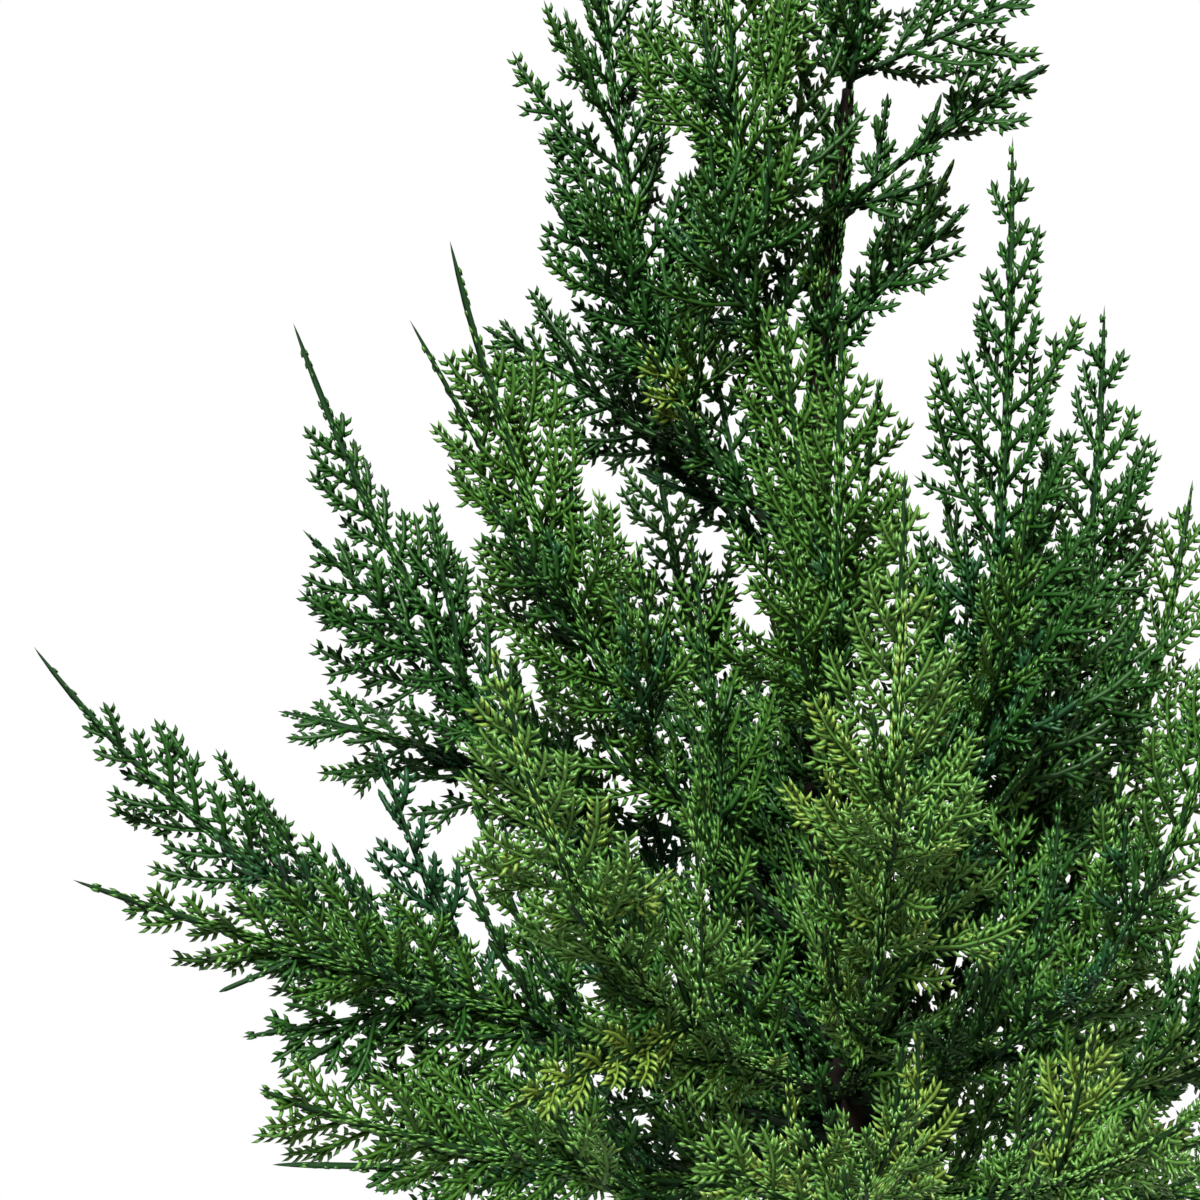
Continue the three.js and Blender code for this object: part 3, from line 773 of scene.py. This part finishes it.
for tone, (tone_name, colour) in enumerate(GREENS.items()):
    # The shaft is the spray's green painted darker: painted shade.
    shaft_with_painted_shade = [channel * SHAFT_PAINTED_SHADES[tone] for channel in colour]
    twig_painted_shade_green = plastic(f"twig_{tone_name}", shaft_with_painted_shade, *SHAFT_FINISH)
    for index, whorl in enumerate(WHORLS):
        for name, shoots, radii, rings in (
            ("sprigs", sprigs, SPRIG_RADIUS, SPRIG_RINGS),
            ("twigs", twigs, TWIG_RADIUS, TWIG_RINGS),
        ):
            mine = chosen(shoots, (shoots["whorl"] == index) & (shoots["tone"] == tone))
            if len(mine["seed"]):
                girths = np.array(radii) * SHAFT_GIRTH[tone]
                piece = f"{name}_{whorl}_{tone_name}"
                place_shoots(piece, *pointed_tubes(mine, girths, rings), twig_painted_shade_green, whorl)

# The needles: blunt awl-shaped teeth that lean forward, moulded with the twig, in pairs along every
# twig and all round the stems. Each spray has one green, a step paler towards the tips on some twigs.

# By green, because the darker sprays have fewer, shorter and broader needles.
NEEDLE_SPACING = (0.0056, 0.0054, 0.0048, 0.0045, 0.0045)
NEEDLE_LENGTH = (0.0056, 0.0059, 0.0066, 0.0073, 0.0073)
NEEDLE_WIDTH = (0.0029, 0.0028, 0.0023, 0.0021, 0.0021)
NEEDLE_SWELL = (0.65, 0.70, 0.90, 1.05, 1.05)

# The shape of a needle: a flat blade with a keel, closed on all sides.
NEEDLE_WIDEST = 0.60
NEEDLE_KEEL = 0.0010
NEEDLE_KEEL_AT = 0.45
NEEDLE_ANGLE = (0.98, 0.80)
NEEDLE_ANGLE_VARIATION = (0.9, 1.1)
NEEDLE_CURVE = 0.50
NEEDLE_SIZE = (0.88, 1.10)
NEEDLE_FACES = np.array((
    (1, 4, 0), (0, 4, 2), (4, 5, 2), (3, 5, 4), (1, 3, 4), (0, 2, 3), (0, 3, 1), (2, 5, 3),
))
NEEDLE_FINISH = (0.40, 0.58)
NEEDLE_SALT = 71
PALER_FROM = 1.05
PALER_TIPS = 0.3
PALER_SALT = 75

# Where needles start and end, how far they lift out of the flat, and the lean and size of those on
# stems, spikes and trunk.
STEM_NEEDLE_FIRST = 0.02
SPRIG_NEEDLE_FIRST = 0.05
TWIG_NEEDLE_FIRST = 0.10
NEEDLE_END = 0.0040
SPIKE_END = 0.015
NEEDLE_LIFT = 0.16
ALL_ROUND = 1.0
STEM_NEEDLES = (0.40, 0.85)
SPIKE_NEEDLES = (0.10, 0.70)
TRUNK_NEEDLES = (0.60, 1.00)

# Where needles start from the middle of a spray's stem, at its foot and at its tip, by kind of spray.
TWIG_SET_OUT = 0.0008
NEEDLE_SET_OUT = (
    (0.0019, TWIG_SET_OUT),
    (0.0012, TWIG_SET_OUT),
    (0.0019, 0.0019),
    (0.0012, TWIG_SET_OUT),
)

# The stems of main sprays and stalks have three more coats of needles.
COAT_NEEDLES = (0.28, 1.05)
COAT_FIRST = (0.024, 0.028, 0.032)
COAT_END = 0.050

# Needles straight on the limbs and on the upper trunk, in ranks.
LIMB_RANKS = 4
LIMB_FIRST = 0.2
LIMB_SHOOT_SEED = 70.0
TRUNK_SHOOT = (0.36, 0.688)
TRUNK_SHOOT_LENGTHS = 10
TRUNK_SHOOT_RANKS = 9
TRUNK_SHOOT_SEED = 50.0
TRUNK_SHOOT_TONE = 1


def needle_corners(twigs, first, margin, lift, lean=1.0, scale=1.0):
    """The six corners of every needle on many twigs, where they stand in pairs, its whorl and tone."""
    tones = twigs["tone"]
    spacing = np.take(NEEDLE_SPACING, tones)
    owner, _, share = stations(twigs, spacing, first, short_of_tip(twigs, margin))
    owner = np.repeat(owner, 2)
    share = np.repeat(share, 2)
    number = np.arange(len(owner))
    lifts = np.full(len(tones), lift)
    counter, along, outward = two_ranked(twigs, owner, number, share, lifts, NEEDLE_SALT)
    variation = mix(NEEDLE_ANGLE_VARIATION, seeded(counter, NEEDLE_SALT + 1))
    angle = (lean * mix(NEEDLE_ANGLE, share) * variation)[:, None]
    bend = angle - NEEDLE_CURVE * lean
    out = along * np.cos(angle) + outward * np.sin(angle)
    broad = outward * np.cos(angle) - along * np.sin(angle)
    keel = np.cross(out, broad) * NEEDLE_KEEL
    reach = np.take(NEEDLE_LENGTH, tones)[owner] * mix(NEEDLE_SIZE, seeded(counter, NEEDLE_SALT + 2))
    reach = reach[:, None] * scale
    half_width = np.take(NEEDLE_WIDTH, tones)[owner, None] / 2
    swell = np.take(NEEDLE_SWELL, tones)[owner, None]
    girth = mix(twigs["girth"][owner].T, share)[:, None]
    root = on_curve(twigs["curve"][owner], share) + outward * girth
    widest = root + out * reach * NEEDLE_WIDEST
    middle = root + out * reach * NEEDLE_KEEL_AT
    tip = widest + (along * np.cos(bend) + outward * np.sin(bend)) * reach * (1 - NEEDLE_WIDEST)
    corners = (
        root + broad * half_width,
        root - broad * half_width,
        widest + broad * half_width * swell,
        widest - broad * half_width * swell,
        middle + keel,
        tip,
    )
    paler = seeded(twigs["seed"], PALER_SALT)[owner] + share * PALER_TIPS > PALER_FROM
    tone = np.minimum(tones[owner] + paler, len(GREENS) - 1)
    return np.stack(corners, axis=1), twigs["whorl"][owner], tone


def ways_round(count):
    """Level directions, each turned a radian further than the last."""
    return np.array([(cos(turn), sin(turn), 0) for turn in range(count)])


shoot_heights = np.linspace(*TRUNK_SHOOT, TRUNK_SHOOT_LENGTHS * TRUNK_SHOOT_RANKS)
shoot_ends = list(zip(shoot_heights, shoot_heights[TRUNK_SHOOT_RANKS:]))
trunk_shoots = {
    "curve": np.array([[trunk_centre(mix(ends, half)) for half in (0, 0.5, 1)] for ends in shoot_ends]),
    "near": ways_round(len(shoot_ends)),
    "seed": np.arange(len(shoot_ends)) * TRUNK_SHOOT_SEED,
    "whorl": np.full(len(shoot_ends), WHORLS.index("top")),
    "tone": np.full(len(shoot_ends), TRUNK_SHOOT_TONE),
    "girth": np.interp(shoot_ends, levels, ring_radii),
}
limb_names = [name for name in BOUGHS for _ in range(LIMB_RANKS)]
limb_lines = [lines[name] for name in limb_names]
limb_shoots = {
    "curve": np.array([stretch(line, 0, share_at(line, bare)) for line, _, bare, _ in limb_lines]),
    "near": ways_round(len(limb_names)),
    "seed": np.arange(len(limb_names)) * LIMB_SHOOT_SEED,
    "whorl": np.array([WHORLS.index(whorl_of(name)) for name in limb_names]),
    # Needles on the limbs are painted darker than their bough's green: painted shade.
    "tone": np.array([max(round(green - INNER_PAINTED_SHADE), 0) for _, _, _, green in limb_lines]),
    "girth": np.array([BOUGH_RADII for name in limb_names]),
}
spikes = chosen(spines, spines["spike"] > 0)
bare_from = 1 - spikes["spike"] / lengths(spikes)
spikes["curve"] = np.array([stretch(curve, share, 1) for curve, share in zip(spikes["curve"], bare_from)])
spines["girth"] = np.array(NEEDLE_SET_OUT)[spines["kind"]]
for shoots in (spikes, sprigs, twigs):
    shoots["girth"] = np.full((len(shoots["seed"]), 2), TWIG_SET_OUT)
stems = chosen(spines, np.isin(spines["kind"], (MAIN, STALK)))
coats = []
for coat, first in enumerate(COAT_FIRST, 1):
    coated = {**stems, "seed": stems["seed"] + coat}
    coats.append(needle_corners(coated, first, stems["spike"] + COAT_END, ALL_ROUND, *COAT_NEEDLES))
batches = (
    needle_corners(trunk_shoots, 0, 0, ALL_ROUND, *TRUNK_NEEDLES),
    needle_corners(limb_shoots, LIMB_FIRST, 0, ALL_ROUND, *STEM_NEEDLES),
    needle_corners(spikes, 0, SPIKE_END, ALL_ROUND, *SPIKE_NEEDLES),
    needle_corners(spines, STEM_NEEDLE_FIRST, spines["spike"] + NEEDLE_END, ALL_ROUND, *STEM_NEEDLES),
    *coats,
    needle_corners(sprigs, SPRIG_NEEDLE_FIRST, NEEDLE_END, NEEDLE_LIFT),
    needle_corners(twigs, TWIG_NEEDLE_FIRST, NEEDLE_END, NEEDLE_LIFT),
)
needles, needle_whorls, needle_tones = (np.concatenate(column) for column in zip(*batches))
for tone, (tone_name, colour) in enumerate(GREENS.items()):
    needle_green = plastic(f"needle_{tone_name}", colour, *NEEDLE_FINISH)
    for index, whorl in enumerate(WHORLS):
        mine = needles[(needle_tones == tone) & (needle_whorls == index)]
        if len(mine):
            place_shoots(f"needles_{whorl}_{tone_name}", mine, NEEDLE_FACES, needle_green, whorl)

# The studio: a pale floor under the tree, white all round, a key light from the upper left front, a weak
# warm one from the right and one from behind. The camera is level with the middle of the crown, and set
# to one side because the crown is seen with its right edge cut.
FLOOR_RADIUS = 0.85
FLOOR_SIDES = 96
FLOOR_COLOUR = (0.44, 0.44, 0.44)
FLOOR_FINISH = (0.9, 0.2)
WHITE = (1, 1, 1, 1)
FILL_STRENGTH = 0.030
BACKDROP_STRENGTH = 1.0
# Each light: the side it comes from, its spread, its strength and its tint.
SUNS = {
    "key_light": (Vector((-0.22, -1.0, 0.95)), radians(14), 8.6, (1.0, 1.0, 1.0)),
    "side_light": (Vector((1.0, -0.45, 0.25)), radians(40), 0.8, (1.0, 0.75, 0.25)),
    "back_light": (Vector((0.40, 1.0, 0.60)), radians(40), 1.4, (1.0, 1.0, 1.0)),
}
CAMERA_TARGET = Vector((-0.120, 0.0, 0.435))
CAMERA_DISTANCE = 2.0
CAMERA_LENS = 120

floor_shape = bmesh.new()
bmesh.ops.create_circle(floor_shape, cap_ends=True, segments=FLOOR_SIDES, radius=FLOOR_RADIUS)
floor_mesh = bpy.data.meshes.new("floor")
floor_shape.to_mesh(floor_mesh)
floor_shape.free()
floor_mesh.materials.append(plastic("pale_floor", FLOOR_COLOUR, *FLOOR_FINISH))
floor = bpy.data.objects.new("floor", floor_mesh)
bpy.context.collection.objects.link(floor)

world = bpy.data.worlds.new("white_studio")
world.use_nodes = True
nodes, links = world.node_tree.nodes, world.node_tree.links
fill = nodes["Background"]
fill.inputs["Color"].default_value = WHITE
fill.inputs["Strength"].default_value = FILL_STRENGTH
backdrop = nodes.new("ShaderNodeBackground")
backdrop.inputs["Color"].default_value = WHITE
backdrop.inputs["Strength"].default_value = BACKDROP_STRENGTH
rays = nodes.new("ShaderNodeLightPath")
either = nodes.new("ShaderNodeMixShader")
links.new(rays.outputs["Is Camera Ray"], either.inputs["Fac"])
links.new(fill.outputs["Background"], either.inputs[1])
links.new(backdrop.outputs["Background"], either.inputs[2])
links.new(either.outputs["Shader"], nodes["World Output"].inputs["Surface"])
bpy.context.scene.world = world
bpy.context.scene.view_settings.view_transform = "Standard"

for name, (source, spread, strength, tint) in SUNS.items():
    sun = bpy.data.objects.new(name, bpy.data.lights.new(name, "SUN"))
    sun.data.angle = spread
    sun.data.energy = strength
    sun.data.color = tint
    sun.rotation_euler = (-source).to_track_quat("-Z", "Y").to_euler()
    bpy.context.collection.objects.link(sun)

camera = bpy.data.objects.new("camera", bpy.data.cameras.new("camera"))
camera.data.lens = CAMERA_LENS
camera.location = CAMERA_TARGET - Vector((0, CAMERA_DISTANCE, 0))
camera.rotation_euler = (pi / 2, 0, 0)
bpy.context.collection.objects.link(camera)
bpy.context.scene.camera = camera
